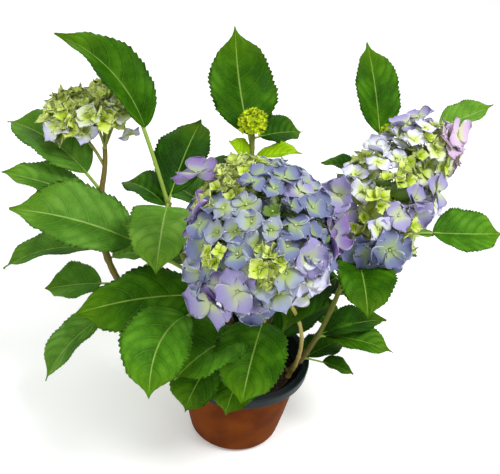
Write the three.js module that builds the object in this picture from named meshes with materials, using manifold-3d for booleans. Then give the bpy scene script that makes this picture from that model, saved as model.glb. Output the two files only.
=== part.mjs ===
// A potted mophead hydrangea in bloom: canes, leaves and flower heads growing out of a nursery pot
// that stands in a terracotta-coloured pot.
//
// Millimetres, +Z up. The origin is the centre of the pot's flat underside. A heading is a compass
// angle in degrees, 0 along +X (right), 90 along +Y (back), 270 towards the front, and a rise is an
// angle above the horizontal.

import * as THREE from 'three';
import { mergeVertices } from 'three/addons/utils/BufferGeometryUtils.js';
import Module from 'manifold-3d';

const wasm = await Module();
wasm.setup();

// ---------------------------------------------------------------- driving dimensions

const GAP = 0.3; // clear of a neighbour
const SLIVER = 0.02; // edges shorter than this are closed up after a union
const POT = { height: 88, mouthR: 65, footR: 48, foot: 9, wall: 4 };
const LINER = { lipTop: 100, lipR: 75, lip: 12, wall: 2.4, mouthR: 67 };
const COMPOST_TOP = 90;
const ROUND_SIDES = 36;

const CANE_SIDES = 6;
const CANE_STEPS = 9;

const LEAF = {
  sides: 6, // midrib, two crowns, two edges and the underside
  thickness: 0.013, // share of the length, and its least value
  thinnest: 0.9,
  midrib: 0.3, // how far the midrib stands up
  arch: 0.05, // rise of each half's crown, share of the half width
  petiole: 0.016, // radius: a share of the length, and what is added to it
  petioleCore: 0.5,
  petioleLift: 5, // how much steeper the petiole rises than the blade
  stations: [0.09, 0.28, 0.52, 0.76, 0.93, 1],
  baseFullness: 0.68, // exponents of the outline towards its base and its tip
  tipFullness: 0.88,
  dripFrom: 0.78, // where the outline starts to draw in to its tip, and by how much
  drip: 0.35,
  narrowest: 0.5, // least half width
};

const FLORET = {
  sides: 8,
  sepals: [0.7, 1.08], // a notch and a tip for each of the four sepals, as shares of the radius
  cup: 0.16, // shares of the radius
  thickness: 0.1,
  turn: 70, // each floret is turned this much more than the one before
};
const HEAD = {
  pedicelR: 0.9,
  knotR: 3.4,
  rayR: 2,
  rays: 6,
  rayReach: 0.6, // of the way out to the florets
  raySpread: 0.62, // share of the lobe's spread
  ragged: 0.06, // share by which a floret's distance from the centre wanders
  tilt: 0.15, // how far its facing wanders, and leans towards the lobe's axis
  sizes: 0.1, // share by which its size wanders
};
const GOLDEN = 137.508;

const COLOUR = {
  pot: 0x6e3a20, liner: 0x143338, compost: 0x2b1d12, cane: 0x76702c, leaf: 0x3f7a1c,
  bloom: 0xa9a6dd, bud: 0xc3d46a,
};

// ---------------------------------------------------------------- the plant, shoot by shoot

// One leaf: where its petiole leaves the cane (share of its length), which way it heads and rises,
// the length of petiole and blade, the blade's width, and how far it droops along its length. The
// options are the fold up from the midrib, the roll about it, and the swing of its heading.
function leaf(at, heading, rise, petiole, length, width, droop, options = {}) {
  return { at, heading, rise, petiole, length, width, droop, fold: 18, roll: 0, swing: 0, ...options };
}

// One shoot: its cane from foot over knee to tip, and its tiers of leaves. A tier's stem is the
// stretch of the cane from its start to the next tier's start.
const SHOOTS = [
  {
    name: 'left', foot: [-30, 15], knee: [-175, 15, 138], tip: [-162, 75, 256], radius: [4.6, 2.9],
    tiers: [
      {
        name: 'low', from: 0.34,
        leaves: [leaf(0.4, 213, -22, 34, 100, 50, 45), leaf(0.5, 185, -5, 20, 62, 52, 12, { roll: -15 })],
      },
      {
        name: 'mid', from: 0.6,
        leaves: [leaf(0.68, 192, 12, 12, 102, 52, 52), leaf(0.64, 20, 14, 5, 50, 44, 30)],
      },
      {
        name: 'top', from: 0.82,
        leaves: [
          leaf(0.89, 186, 26, 18, 90, 54, 18, { roll: -10 }),
          leaf(0.95, 155, 38, 25, 112, 66, 45, { roll: -12 }),
        ],
      },
    ],
  },
  {
    name: 'midleft', foot: [-15, 20], knee: [-70, 20, 190], tip: [-92, 60, 248], radius: [4.2, 2.8],
    tiers: [
      {
        name: 'low', from: 0.42,
        leaves: [leaf(0.5, 186, 27, 70, 130, 82, 25, { roll: -25 }), leaf(0.56, 100, 20, 15, 85, 55, 45)],
      },
      {
        name: 'top', from: 0.8,
        leaves: [
          leaf(0.93, 150, 32, 5, 60, 55, 50),
          leaf(0.97, 148, 62, 84, 134, 60, 50, { fold: 32, roll: -18, swing: 26 }),
          leaf(0.97, 75, 45, 10, 100, 60, 30),
          leaf(0.97, 271, 10, 14, 94, 72, 50, { fold: 15 }),
        ],
      },
    ],
  },
  {
    name: 'main', foot: [54, -17], knee: [80, -30, 170], tip: [20, -50, 235], radius: [2.2, 1.8], tiers: [],
  },
  {
    name: 'centre', foot: [0, 35], knee: [-2, 80, 200], tip: [-10, 125, 306], radius: [4.4, 2.6],
    tiers: [
      {
        name: 'low', from: 0.53,
        leaves: [leaf(0.6, 60, 30, 15, 95, 62, 50), leaf(0.6, 130, 30, 15, 90, 60, 45)],
      },
      {
        name: 'top', from: 0.82,
        leaves: [
          leaf(0.85, 205, 50, 1, 40, 28, 8, { roll: -38 }),
          leaf(0.85, 335, 44, 1, 64, 30, 36, { roll: 14 }),
          leaf(0.92, 116, 42, 14, 119, 79, -35, { fold: 15 }),
          leaf(0.96, 20, 12, 8, 50, 46, 20, { roll: 16 }),
        ],
      },
    ],
  },
  {
    name: 'right', foot: [55, -8], knee: [95, -10, 150], tip: [107, 30, 258], radius: [3, 2.3],
    tiers: [
      {
        name: 'low', from: 0.1,
        leaves: [
          leaf(0.15, 352, -6, 22, 36, 26, 20),
          leaf(0.12, 42, 4, 8, 54, 42, 12),
          leaf(0.35, 352, 10, 8, 74, 40, 30, { roll: 10 }),
          leaf(0.35, 20, 20, 5, 75, 45, 30),
        ],
      },
      {
        name: 'top', from: 0.7,
        leaves: [
          leaf(0.75, 214, -4, 14, 66, 48, 60),
          leaf(0.88, 278, 5, 25, 76, 62, 50),
          leaf(0.9, 215, -10, 10, 50, 35, 20),
          leaf(0.96, 10, -4, 80, 78, 56, -6, { roll: 26 }),
          leaf(0.93, 20, -15, 16, 66, 50, 20),
          leaf(0.93, 12, 0, 66, 20, 11, 10, { roll: 20 }),
        ],
      },
    ],
  },
  {
    name: 'rightback', foot: [30, 35], knee: [85, 85, 190], tip: [134, 130, 312], radius: [4.2, 2.6],
    tiers: [
      {
        name: 'mid', from: 0.66,
        leaves: [leaf(0.84, 168, 8, 6, 46, 34, 20), leaf(0.74, 55, 10, 15, 80, 52, 45)],
      },
      {
        name: 'top', from: 0.88,
        leaves: [leaf(0.95, 110, 60, 15, 102, 54, 20), leaf(0.95, 5, 22, 66, 60, 42, -10, { roll: 12 })],
      },
    ],
  },
  {
    name: 'frontleft', foot: [-5, -20], knee: [-20, -30, 145], tip: [-35, -45, 210], radius: [3.8, 2.6],
    tiers: [
      { name: 'low', from: 0.2, leaves: [leaf(0.3, 240, 5, 16, 72, 60, 75)] },
      {
        name: 'top', from: 0.8,
        leaves: [
          leaf(0.88, 230, 3, 38, 96, 70, 60, { swing: 50 }),
          leaf(0.97, 188, 1, 8, 130, 74, 26, { fold: -3, roll: -20 }),
        ],
      },
    ],
  },
  {
    name: 'front', foot: [10, -20], knee: [15, -40, 140], tip: [20, -50, 190], radius: [3.6, 2.6],
    tiers: [
      {
        name: 'low', from: 0.2,
        leaves: [leaf(0.3, 255, 8, 15, 62, 50, 75), leaf(0.3, 45, 18, 35, 82, 50, 10)],
      },
      {
        name: 'top', from: 0.7,
        leaves: [
          leaf(0.8, 221, 8, 30, 80, 82, 50),
          leaf(0.9, 65, 30, 15, 80, 46, 30),
          leaf(0.97, 259, -5, 5, 88, 72, 60),
        ],
      },
    ],
  },
  {
    name: 'backright', foot: [22, 42], knee: [45, 85, 145], tip: [65, 110, 190], radius: [3.8, 2.6],
    tiers: [
      {
        name: 'low', from: 0.25,
        leaves: [
          leaf(0.5, 5, 0, 15, 70, 46, 30),
          leaf(0.55, 60, 0, 20, 95, 62, 40),
          leaf(0.3, 345, 0, 20, 66, 50, 20),
        ],
      },
      {
        name: 'top', from: 0.8,
        leaves: [leaf(0.97, 95, 20, 15, 100, 66, 50), leaf(0.97, 35, 15, 15, 80, 56, 45)],
      },
    ],
  },
  {
    name: 'backleft', foot: [-12, 42], knee: [-25, 80, 150], tip: [-45, 110, 205], radius: [3.8, 2.6],
    tiers: [
      {
        name: 'low', from: 0.45,
        leaves: [leaf(0.55, 165, 0, 20, 80, 52, 40), leaf(0.6, 100, 5, 20, 110, 70, 45)],
      },
      {
        name: 'top', from: 0.8,
        leaves: [leaf(0.97, 70, 20, 15, 105, 68, 50), leaf(0.97, 135, 15, 15, 100, 64, 50)],
      },
    ],
  },
];

// A floret that hangs out of its lobe, facing a heading and a rise.
function stray(at, facing, across) {
  return { at, facing, across };
}

// One lobe of a flower head: rays spread from the hub to knots, and from the knots pedicels reach
// the florets, which lie on an ellipsoid round the centre out to the spread from its axis. A lobe
// with a spur has its hub carried on a side ray from there.
const HEADS = [
  {
    name: 'head_main', shoot: 'main', hub: [14, -53, 252], seed: 1,
    lobes: [
      {
        hub: [14, -53, 252], centre: [8, -60, 290], radii: [60, 68, 62], axis: [252, 72],
        florets: 26, spread: 97, size: [30, 38],
        strays: [
          stray([-56, -36, 336], [190, 72], 40), stray([-30, -104, 244], [228, -15], 47),
          stray([8, -108, 248], [262, 8], 40), stray([-41, -90, 264], [205, 5], 34),
          stray([49, -110, 303], [292, 20], 34), stray([70, -61, 300], [350, 20], 42),
        ],
      },
    ],
  },
  {
    name: 'head_right', shoot: 'right', hub: [113, 34, 268], seed: 2,
    lobes: [
      {
        hub: [113, 34, 268], centre: [131, 45, 280], radii: [43, 69, 50], axis: [300, 50],
        florets: 14, spread: 98, size: [26, 36], strays: [],
      },
      {
        hub: [143, 60, 298], centre: [165, 75, 325], radii: [31, 32, 30], axis: [340, 60],
        florets: 7, spread: 95, size: [22, 32], strays: [],
      },
    ],
  },
  {
    name: 'head_left', shoot: 'left', hub: [-163, 90, 286], seed: 3,
    lobes: [
      {
        hub: [-163, 90, 286], centre: [-162, 100, 321], radii: [27, 34, 20], axis: [200, 80],
        florets: 8, spread: 72, size: [24, 26], strays: [stray([-138, 92, 304], [300, -35], 22)],
      },
      {
        hub: [-186, 96, 294], spur: [-163, 82, 270], centre: [-196, 100, 311], radii: [26, 34, 21],
        axis: [190, 80], florets: 8, spread: 94, size: [24, 26], strays: [],
      },
    ],
  },
];

// Closed green buds of the heads to come, each a cluster of beads on a core.
const BUD_SHAPE = { core: 0.8, beadsOut: 0.85, coverage: 1.5 };
const BUDS = [
  { name: 'bud_centre', shoot: 'centre', lean: [270, 50], stalk: 8, radius: 11, beads: 10, beadR: 5.4 },
  { name: 'bud_rightback', shoot: 'rightback', lean: [270, 50], stalk: 6, radius: 6, beads: 6, beadR: 3 },
];

// ---------------------------------------------------------------- small maths

const rad = (degrees) => (degrees * Math.PI) / 180;
const vec = (list) => new THREE.Vector3(...list);

function bearing(heading, rise) {
  const flat = Math.cos(rad(rise));
  const [east, north] = [Math.cos(rad(heading)), Math.sin(rad(heading))];
  return new THREE.Vector3(flat * east, flat * north, Math.sin(rad(rise)));
}

// A repeatable wobble from -1 to 1.
function wobble(seed, index) {
  const wave = Math.sin(seed * 12.9898 + index * 78.233) * 43758.5453;
  return 2 * (wave - Math.floor(wave)) - 1;
}

// Two unit vectors square to a direction, so that right x direction = up.
function squareTo(direction) {
  const reference = Math.abs(direction.y) < 0.9 ? new THREE.Vector3(0, 1, 0) : new THREE.Vector3(1, 0, 0);
  const right = direction.clone().cross(reference).normalize();
  return { right, up: right.clone().cross(direction) };
}

function caneCurve(shoot) {
  const foot = new THREE.Vector3(shoot.foot[0], shoot.foot[1], COMPOST_TOP);
  return new THREE.QuadraticBezierCurve3(foot, vec(shoot.knee), vec(shoot.tip));
}

// ---------------------------------------------------------------- solids

function solidOf(geometry) {
  geometry.deleteAttribute('normal');
  geometry.deleteAttribute('uv');
  const welded = mergeVertices(geometry, 1e-4);
  return new wasm.Manifold(new wasm.Mesh({
    numProp: 3,
    vertProperties: welded.attributes.position.array,
    triVerts: Uint32Array.from(welded.index.array),
  }));
}

function meshOf(solid, name, colour) {
  const { vertProperties, triVerts } = solid.getMesh();
  const geometry = new THREE.BufferGeometry();
  geometry.setAttribute('position', new THREE.BufferAttribute(vertProperties, 3));
  geometry.setIndex(new THREE.BufferAttribute(triVerts, 1));
  geometry.computeVertexNormals();
  const mesh = new THREE.Mesh(geometry, new THREE.MeshStandardMaterial({ color: colour, roughness: 0.6 }));
  mesh.name = name;
  return mesh;
}

// The union of several solids, without the slivers that crossing faces leave.
const joined = (solids) => solids.reduce((whole, solid) => whole.add(solid)).simplify(SLIVER);

// A closed tube with a round or angular section: place(step, k) gives the point of corner k at each
// step along it, and middle(step) the centre of its two ends.
function sweep(sides, steps, place, middle) {
  const geometry = new THREE.CylinderGeometry(1, 1, 1, sides, steps);
  const position = geometry.attributes.position;
  for (let i = 0; i < position.count; i += 1) {
    const step = Math.round((position.getY(i) + 0.5) * steps);
    const onAxis = Math.hypot(position.getX(i), position.getZ(i)) < 0.5;
    const turn = Math.atan2(position.getX(i), position.getZ(i)) / (2 * Math.PI);
    const corner = (Math.round(turn * sides) + sides) % sides;
    const point = onAxis ? middle(step) : place(step, corner);
    position.setXYZ(i, point.x, point.y, point.z);
  }
  return solidOf(geometry);
}

// A tapered tube along a curve, between two shares of its length. Its start is cut square to the
// curve, or level at a height where one is given.
function stalk(curve, start, end, radiusAt, sides, steps, level = null) {
  const share = (step) => start + ((end - start) * step) / steps;
  const cut = (point, step) => {
    const along = curve.getTangent(share(step));
    return step > 0 || level === null ? point : point.addScaledVector(along, (level - point.z) / along.z);
  };
  const place = (step, corner) => {
    const { right, up } = squareTo(curve.getTangent(share(step)));
    const turn = (corner / sides) * 2 * Math.PI;
    const point = curve.getPoint(share(step))
      .addScaledVector(right, Math.sin(turn) * radiusAt(share(step)))
      .addScaledVector(up, Math.cos(turn) * radiusAt(share(step)));
    return cut(point, step);
  };
  return sweep(sides, steps, place, (step) => cut(curve.getPoint(share(step)), step));
}

function caneStretch(shoot, start, end) {
  const curve = caneCurve(shoot);
  const halfGap = GAP / 2 / curve.getLength();
  const [first, level] = start > 0 ? [start + halfGap, null] : [0, COMPOST_TOP + GAP];
  const [footR, tipR] = shoot.radius;
  const steps = Math.max(2, Math.ceil(CANE_STEPS * (end - start)));
  return stalk(curve, first, end - halfGap, (t) => footR + (tipR - footR) * t, CANE_SIDES, steps, level);
}

// ---------------------------------------------------------------- leaves

// Half the blade's width at a share of its length, full at 1: a rounded base and a drawn-out tip.
function outline(t) {
  const { baseFullness: base, tipFullness: tip } = LEAF;
  const widest = (base / (base + tip)) ** base * (tip / (base + tip)) ** tip;
  const drip = LEAF.drip * THREE.MathUtils.smoothstep(t, LEAF.dripFrom, 1);
  return ((t ** base * (1 - t) ** tip) / widest) * (1 - drip);
}

// The leaf's spine: a straight petiole, and a blade that droops and swings along its length.
function spine(root, spec) {
  const { heading, rise } = spec;
  const steeper = rise + LEAF.petioleLift;
  const here = root.clone().addScaledVector(bearing(heading, steeper), spec.petiole);
  const points = [
    { at: root, rise: steeper, heading, blade: 0 },
    { at: here.clone(), rise, heading, blade: 0 },
  ];
  let done = 0;
  for (const t of LEAF.stations) {
    const middle = (done + t) / 2;
    const way = bearing(heading + spec.swing * middle, rise - spec.droop * middle);
    here.addScaledVector(way, (t - done) * spec.length);
    points.push({
      at: here.clone(), rise: rise - spec.droop * t, heading: heading + spec.swing * t, blade: t,
    });
    done = t;
  }
  return points;
}

function leafSolid(root, spec) {
  const points = spine(root, spec);
  const petioleR = LEAF.petiole * spec.length + LEAF.petioleCore;
  const thickness = Math.max(LEAF.thinnest, LEAF.thickness * spec.length);
  const frames = points.map((point) => {
    const along = bearing(point.heading, point.rise);
    const left = bearing(point.heading + 90, 0).applyAxisAngle(along, rad(point.blade > 0 ? spec.roll : 0));
    return { ...point, right: left.clone().negate(), up: along.clone().cross(left) };
  });
  const offset = (step, corner) => {
    const { blade } = frames[step];
    if (blade === 0) {
      const turn = (corner / LEAF.sides) * 2 * Math.PI;
      return [Math.sin(turn) * petioleR, Math.cos(turn) * petioleR];
    }
    const half = Math.max(LEAF.narrowest, (outline(blade) * spec.width) / 2);
    const [across, lift] = [half * Math.cos(rad(spec.fold)), half * Math.sin(rad(spec.fold))];
    const crown = lift / 2 + LEAF.arch * half;
    return [
      [0, LEAF.midrib],
      [across / 2, crown],
      [across, lift],
      [0, -thickness],
      [-across, lift],
      [-across / 2, crown],
    ][corner];
  };
  const place = (step, corner) => {
    const [across, lift] = offset(step, corner);
    const { at, right, up } = frames[step];
    return at.clone().addScaledVector(right, across).addScaledVector(up, lift);
  };
  const middle = (step) => {
    const { at, up, blade } = frames[step];
    return at.clone().addScaledVector(up, blade === 0 ? 0 : -thickness / 3);
  };
  return sweep(LEAF.sides, points.length - 1, place, middle);
}

function tierSolid(shoot, tier, end) {
  const curve = caneCurve(shoot);
  const leaves = tier.leaves.map((spec) => leafSolid(curve.getPoint(spec.at), spec));
  return joined([caneStretch(shoot, tier.from, end), ...leaves]);
}

// ---------------------------------------------------------------- flower heads

// Where the florets of a lobe lie, which way they face and how wide they are.
function floretPlaces(lobe, seed) {
  const axis = bearing(...lobe.axis);
  const { right, up } = squareTo(axis);
  const closing = 1 - Math.cos(rad(lobe.spread));
  return Array.from({ length: lobe.florets }, (_, i) => {
    const share = (i + 0.5) / lobe.florets;
    const polar = Math.acos(1 - closing * share);
    const turn = rad(i * GOLDEN + seed * 40);
    const [x, y, z] = [Math.sin(polar) * Math.cos(turn), Math.sin(polar) * Math.sin(turn), Math.cos(polar)];
    const reach = 1 + HEAD.ragged * wobble(seed, i);
    const at = vec(lobe.centre)
      .addScaledVector(right, x * lobe.radii[0] * reach)
      .addScaledVector(up, y * lobe.radii[1] * reach)
      .addScaledVector(axis, z * lobe.radii[2] * reach);
    const facing = new THREE.Vector3()
      .addScaledVector(right, x + HEAD.tilt * wobble(seed + 5, i))
      .addScaledVector(up, y + HEAD.tilt * wobble(seed + 9, i))
      .addScaledVector(axis, z + HEAD.tilt)
      .normalize();
    const size = THREE.MathUtils.lerp(lobe.size[0], lobe.size[1], share);
    return { at, facing, across: size * (1 + HEAD.sizes * wobble(seed + 3, i)), turn: i * FLORET.turn };
  });
}

function floretSolid({ at, facing, across, turn }) {
  const radius = across / 2;
  const profile = [
    new THREE.Vector2(0, -FLORET.cup - FLORET.thickness),
    new THREE.Vector2(1, 0),
    new THREE.Vector2(0, -FLORET.cup),
  ];
  const geometry = new THREE.LatheGeometry(profile, FLORET.sides);
  const position = geometry.attributes.position;
  for (let i = 0; i < position.count; i += 1) {
    const [x, y, z] = [position.getX(i), position.getY(i), position.getZ(i)];
    const corner = Math.round((Math.atan2(x, z) / (2 * Math.PI)) * FLORET.sides) + FLORET.sides;
    const reach = radius * FLORET.sepals[corner % FLORET.sepals.length];
    position.setXYZ(i, x * reach, y * radius, z * reach);
  }
  const pose = new THREE.Quaternion().setFromUnitVectors(new THREE.Vector3(0, 1, 0), facing);
  geometry.rotateY(rad(turn)).applyQuaternion(pose).translate(at.x, at.y, at.z);
  return solidOf(geometry);
}

function strut(from, to, startR, endR, sides) {
  const line = new THREE.LineCurve3(from, to);
  return stalk(line, 0, 1, (t) => startR + (endR - startR) * t, sides, 1);
}

function ball(at, radius, detail = 0) {
  const [shape, rounds] = detail > 0 ? [THREE.IcosahedronGeometry, detail] : [THREE.OctahedronGeometry, 0];
  return solidOf(new shape(radius, rounds).translate(at.x, at.y, at.z));
}

// The knots at the ends of a lobe's rays: one under the crown and a ring round it.
function knotPlaces(lobe) {
  const axis = bearing(...lobe.axis);
  const { right, up } = squareTo(axis);
  return Array.from({ length: HEAD.rays + 1 }, (_, i) => {
    const polar = i === 0 ? 0 : rad(lobe.spread * HEAD.raySpread);
    const turn = (i / HEAD.rays) * 2 * Math.PI;
    const target = vec(lobe.centre)
      .addScaledVector(right, Math.sin(polar) * Math.cos(turn) * lobe.radii[0])
      .addScaledVector(up, Math.sin(polar) * Math.sin(turn) * lobe.radii[1])
      .addScaledVector(axis, Math.cos(polar) * lobe.radii[2]);
    return vec(lobe.hub).lerp(target, HEAD.rayReach);
  });
}

function lobeSolids(lobe, seed) {
  const hub = vec(lobe.hub);
  const knots = knotPlaces(lobe);
  const solids = [];
  for (const knot of knots) {
    solids.push(strut(hub, knot, HEAD.rayR, HEAD.rayR * 0.8, 4), ball(knot, HEAD.knotR));
  }
  const strays = lobe.strays.map(({ at, facing, across }) => (
    { at: vec(at), facing: bearing(...facing), across, turn: 0 }
  ));
  for (const place of [...floretPlaces(lobe, seed), ...strays]) {
    const nearer = (a, b) => (a.distanceTo(place.at) < b.distanceTo(place.at) ? a : b);
    const under = (FLORET.cup + FLORET.thickness / 2) * (place.across / 2);
    const heart = place.at.clone().addScaledVector(place.facing, -under);
    const pedicel = strut(knots.reduce(nearer), heart, HEAD.pedicelR, HEAD.pedicelR, 3);
    solids.push(pedicel, floretSolid(place));
  }
  return solids;
}

// The stem of a head or a bud: it carries on from the cane's tip and bends towards its hub.
function peduncle(shoot, hub) {
  const way = caneCurve(shoot).getTangent(1);
  const start = vec(shoot.tip).addScaledVector(way, GAP / 2);
  const bend = start.clone().addScaledVector(way, start.distanceTo(hub) / 2);
  const curve = new THREE.QuadraticBezierCurve3(start, bend, hub);
  return stalk(curve, 0, 1, (t) => shoot.radius[1] * (1 - 0.15 * t), CANE_SIDES, 3);
}

function headSolid(head) {
  const shoot = SHOOTS.find(({ name }) => name === head.shoot);
  const hub = vec(head.hub);
  const solids = [peduncle(shoot, hub), ball(hub, HEAD.knotR * 1.2, 1)];
  for (const lobe of head.lobes) {
    const lobeHub = vec(lobe.hub);
    if (lobeHub.distanceTo(hub) > 1) {
      const from = lobe.spur ? vec(lobe.spur) : hub;
      solids.push(strut(from, lobeHub, HEAD.rayR * 1.2, HEAD.rayR, 6), ball(lobeHub, HEAD.knotR));
    }
    solids.push(...lobeSolids(lobe, head.seed));
  }
  return joined(solids);
}

function budSolid(bud) {
  const shoot = SHOOTS.find(({ name }) => name === bud.shoot);
  const heart = vec(shoot.tip).addScaledVector(bearing(...bud.lean), bud.stalk + bud.radius);
  const solids = [peduncle(shoot, heart), ball(heart, bud.radius * BUD_SHAPE.core, 1)];
  for (let i = 0; i < bud.beads; i += 1) {
    const height = 1 - (BUD_SHAPE.coverage * (i + 0.5)) / bud.beads;
    const ring = Math.sqrt(1 - height * height);
    const turn = rad(i * GOLDEN);
    const out = new THREE.Vector3(ring * Math.cos(turn), ring * Math.sin(turn), height);
    solids.push(ball(heart.clone().addScaledVector(out, bud.radius * BUD_SHAPE.beadsOut), bud.beadR));
  }
  return joined(solids);
}

// ---------------------------------------------------------------- pots and compost

const ring = (radius, height) => new THREE.Vector2(radius, height);

function turned(profile) {
  const geometry = new THREE.LatheGeometry(profile, ROUND_SIDES);
  geometry.rotateX(Math.PI / 2);
  return solidOf(geometry);
}

// Radius of the pot's outer wall at a height.
function potR(height) {
  return POT.footR + ((POT.mouthR - POT.footR) * height) / POT.height;
}

function potSolid() {
  const corner = Array.from({ length: 5 }, (_, i) => {
    const turn = (i / 4) * (Math.PI / 2);
    return ring(potR(POT.foot) - POT.foot * (1 - Math.sin(turn)), POT.foot * (1 - Math.cos(turn)));
  });
  return turned([
    ring(0, 0),
    ...corner,
    ring(potR(POT.height / 2) + 1, POT.height / 2),
    ring(POT.mouthR, POT.height - 1),
    ring(POT.mouthR - 1, POT.height),
    ring(POT.mouthR - POT.wall, POT.height),
    ring(potR(POT.foot) - POT.wall, POT.foot),
    ring(0, POT.foot),
  ]);
}

// Inner radius of the liner's wall at a height.
function linerInnerR(height) {
  const mouth = POT.mouthR - POT.wall - GAP - LINER.wall;
  const foot = potR(POT.foot) - POT.wall - GAP - LINER.wall - 1;
  return foot + ((mouth - foot) * (height - POT.foot)) / (POT.height - POT.foot);
}

function linerSolid() {
  const lipBottom = LINER.lipTop - LINER.lip + GAP;
  const floor = POT.foot + GAP;
  return turned([
    ring(0, floor),
    ring(linerInnerR(floor) + LINER.wall - 0.6, floor),
    ring(linerInnerR(lipBottom) + LINER.wall - 0.6, lipBottom),
    ring(LINER.lipR - 3, lipBottom),
    ring(LINER.lipR - 1, lipBottom + 1),
    ring(LINER.lipR, LINER.lipTop - 1.5),
    ring(LINER.lipR - 1, LINER.lipTop),
    ring(LINER.lipR - 3, LINER.lipTop),
    ring(LINER.mouthR, LINER.lipTop - 2),
    ring(linerInnerR(lipBottom - 6), lipBottom - 6),
    ring(linerInnerR(floor + LINER.wall), floor + LINER.wall),
    ring(0, floor + LINER.wall),
  ]);
}

function compostSolid() {
  const bottom = POT.foot + LINER.wall + 2 * GAP;
  const middle = LINER.lipTop - LINER.lip - 6;
  return turned([
    ring(0, bottom),
    ring(linerInnerR(bottom) - GAP, bottom),
    ring(linerInnerR(middle) - GAP, middle),
    ring(linerInnerR(middle) + 1.5, COMPOST_TOP - 1.5),
    ring(linerInnerR(middle) - 2, COMPOST_TOP - 0.5),
    ring(0, COMPOST_TOP),
  ]);
}

// ---------------------------------------------------------------- the object

const hydrangea = new THREE.Group();
hydrangea.add(meshOf(potSolid(), 'pot', COLOUR.pot));
hydrangea.add(meshOf(linerSolid(), 'nursery_pot', COLOUR.liner));
hydrangea.add(meshOf(compostSolid(), 'compost', COLOUR.compost));

for (const shoot of SHOOTS) {
  const bareEnd = shoot.tiers.length > 0 ? shoot.tiers[0].from : 1;
  hydrangea.add(meshOf(caneStretch(shoot, 0, bareEnd), `cane_${shoot.name}`, COLOUR.cane));
  shoot.tiers.forEach((tier, i) => {
    const end = i + 1 < shoot.tiers.length ? shoot.tiers[i + 1].from : 1;
    hydrangea.add(meshOf(tierSolid(shoot, tier, end), `leaves_${shoot.name}_${tier.name}`, COLOUR.leaf));
  });
}
for (const head of HEADS) {
  hydrangea.add(meshOf(headSolid(head), head.name, COLOUR.bloom));
}
for (const bud of BUDS) {
  hydrangea.add(meshOf(budSolid(bud), bud.name, COLOUR.bud));
}

export default hydrangea;
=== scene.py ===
"""A potted mophead hydrangea in bloom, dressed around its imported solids.

The plant grows by the table and the rule of its solids, three leaves set a little otherwise, and
they are carried to toothed and veined leaves, four-sepalled florets, ringed canes and crumbs of
compost. Lengths are millimetres until a piece is finished, and metres from there. +Z is up and the
front is towards -Y. A heading is an angle seen from above, 0 along +X, 90 along +Y and 270 to the
front; a rise is an angle above the horizontal.
"""

import math

import bmesh
import bpy
import numpy as np
from mathutils import Matrix, Vector


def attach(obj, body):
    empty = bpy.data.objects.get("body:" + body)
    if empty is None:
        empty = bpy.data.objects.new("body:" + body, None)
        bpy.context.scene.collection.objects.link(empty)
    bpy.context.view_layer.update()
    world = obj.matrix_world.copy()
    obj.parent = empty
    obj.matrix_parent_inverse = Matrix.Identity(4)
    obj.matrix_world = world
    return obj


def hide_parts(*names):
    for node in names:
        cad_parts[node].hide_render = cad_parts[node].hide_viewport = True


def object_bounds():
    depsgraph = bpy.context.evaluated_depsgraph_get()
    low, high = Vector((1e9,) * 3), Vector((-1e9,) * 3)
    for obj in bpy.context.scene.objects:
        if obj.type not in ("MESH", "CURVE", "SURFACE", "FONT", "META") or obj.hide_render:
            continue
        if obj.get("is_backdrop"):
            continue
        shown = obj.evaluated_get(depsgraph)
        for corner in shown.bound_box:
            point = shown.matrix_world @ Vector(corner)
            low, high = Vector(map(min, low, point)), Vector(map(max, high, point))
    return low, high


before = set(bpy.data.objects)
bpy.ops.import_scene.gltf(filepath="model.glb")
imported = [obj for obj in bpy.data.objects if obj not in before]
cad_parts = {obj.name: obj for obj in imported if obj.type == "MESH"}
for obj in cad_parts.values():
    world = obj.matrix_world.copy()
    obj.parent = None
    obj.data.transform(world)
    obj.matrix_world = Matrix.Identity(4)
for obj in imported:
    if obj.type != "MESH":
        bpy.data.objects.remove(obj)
CAD_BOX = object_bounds()

MM = 0.001

# ---------------------------------------------------------------- sizes shared with the solids

POT = {"height": 88, "mouth_r": 65, "foot_r": 48, "foot": 9, "wall": 4}
LINER = {"lip_top": 100, "lip_r": 75, "lip": 12, "wall": 2.4, "mouth_r": 67}
GAP = 0.3
COMPOST_TOP = 90
GOLDEN = 137.508

LEAF = {
    "petiole": 0.012,
    "petiole_core": 0.5,
    "petiole_lift": 5,
    "arch": 0.05,
    "base_fullness": 0.68,
    "tip_fullness": 0.88,
    "drip_from": 0.78,
    "drip": 0.35,
}
HEAD = {
    "rays": 6, "ray_reach": 0.6, "ray_spread": 0.62, "ragged": 0.08, "tilt": 0.32, "lift": 0.55,
    "sizes": 0.14,
}

# ---------------------------------------------------------------- sizes of the finer growth

SHELLS = (1.0, 0.8), (0, 77)  # how far out the layers of florets lie, and where their turns start
STEM_R = {  # within a head
    "hub": 3.2, "spur": 1.8, "ray": 1.4, "knot": 1.8, "pedicel": 0.55, "stray": 0.7,
}
CRUMBS = 420
ROUND = 96  # sides of the pots
BLADE = {
    "across": 14,
    "along": 92,
    "teeth": 23,
    "tooth": 0.085,
    "veins": 7,
    "lean": 0.12,
    "sweep": 0.2,
    "stagger": 0.35,
    "quilt": 0.013,
    "ruffle": 0.07,
    "thickness": 0.5,
    "rib": 0.8,
    "taper": 0.5,
}


# ---------------------------------------------------------------- the plant, shoot by shoot


def leaf(at, heading, rise, petiole, length, width, droop, tone="mid", fold=18, roll=0, swing=0):
    """A leaf: where it leaves the cane, its way, petiole, blade, droop, and its green, partly
    painted light and shade.
    """
    return dict(locals())


def shoot(name, foot, knee, tip, radius, bark="cane_olive", **tiers):
    """A cane by three points and its radii, and its leaves in the tiers that its solids have."""
    return dict(locals())


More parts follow.
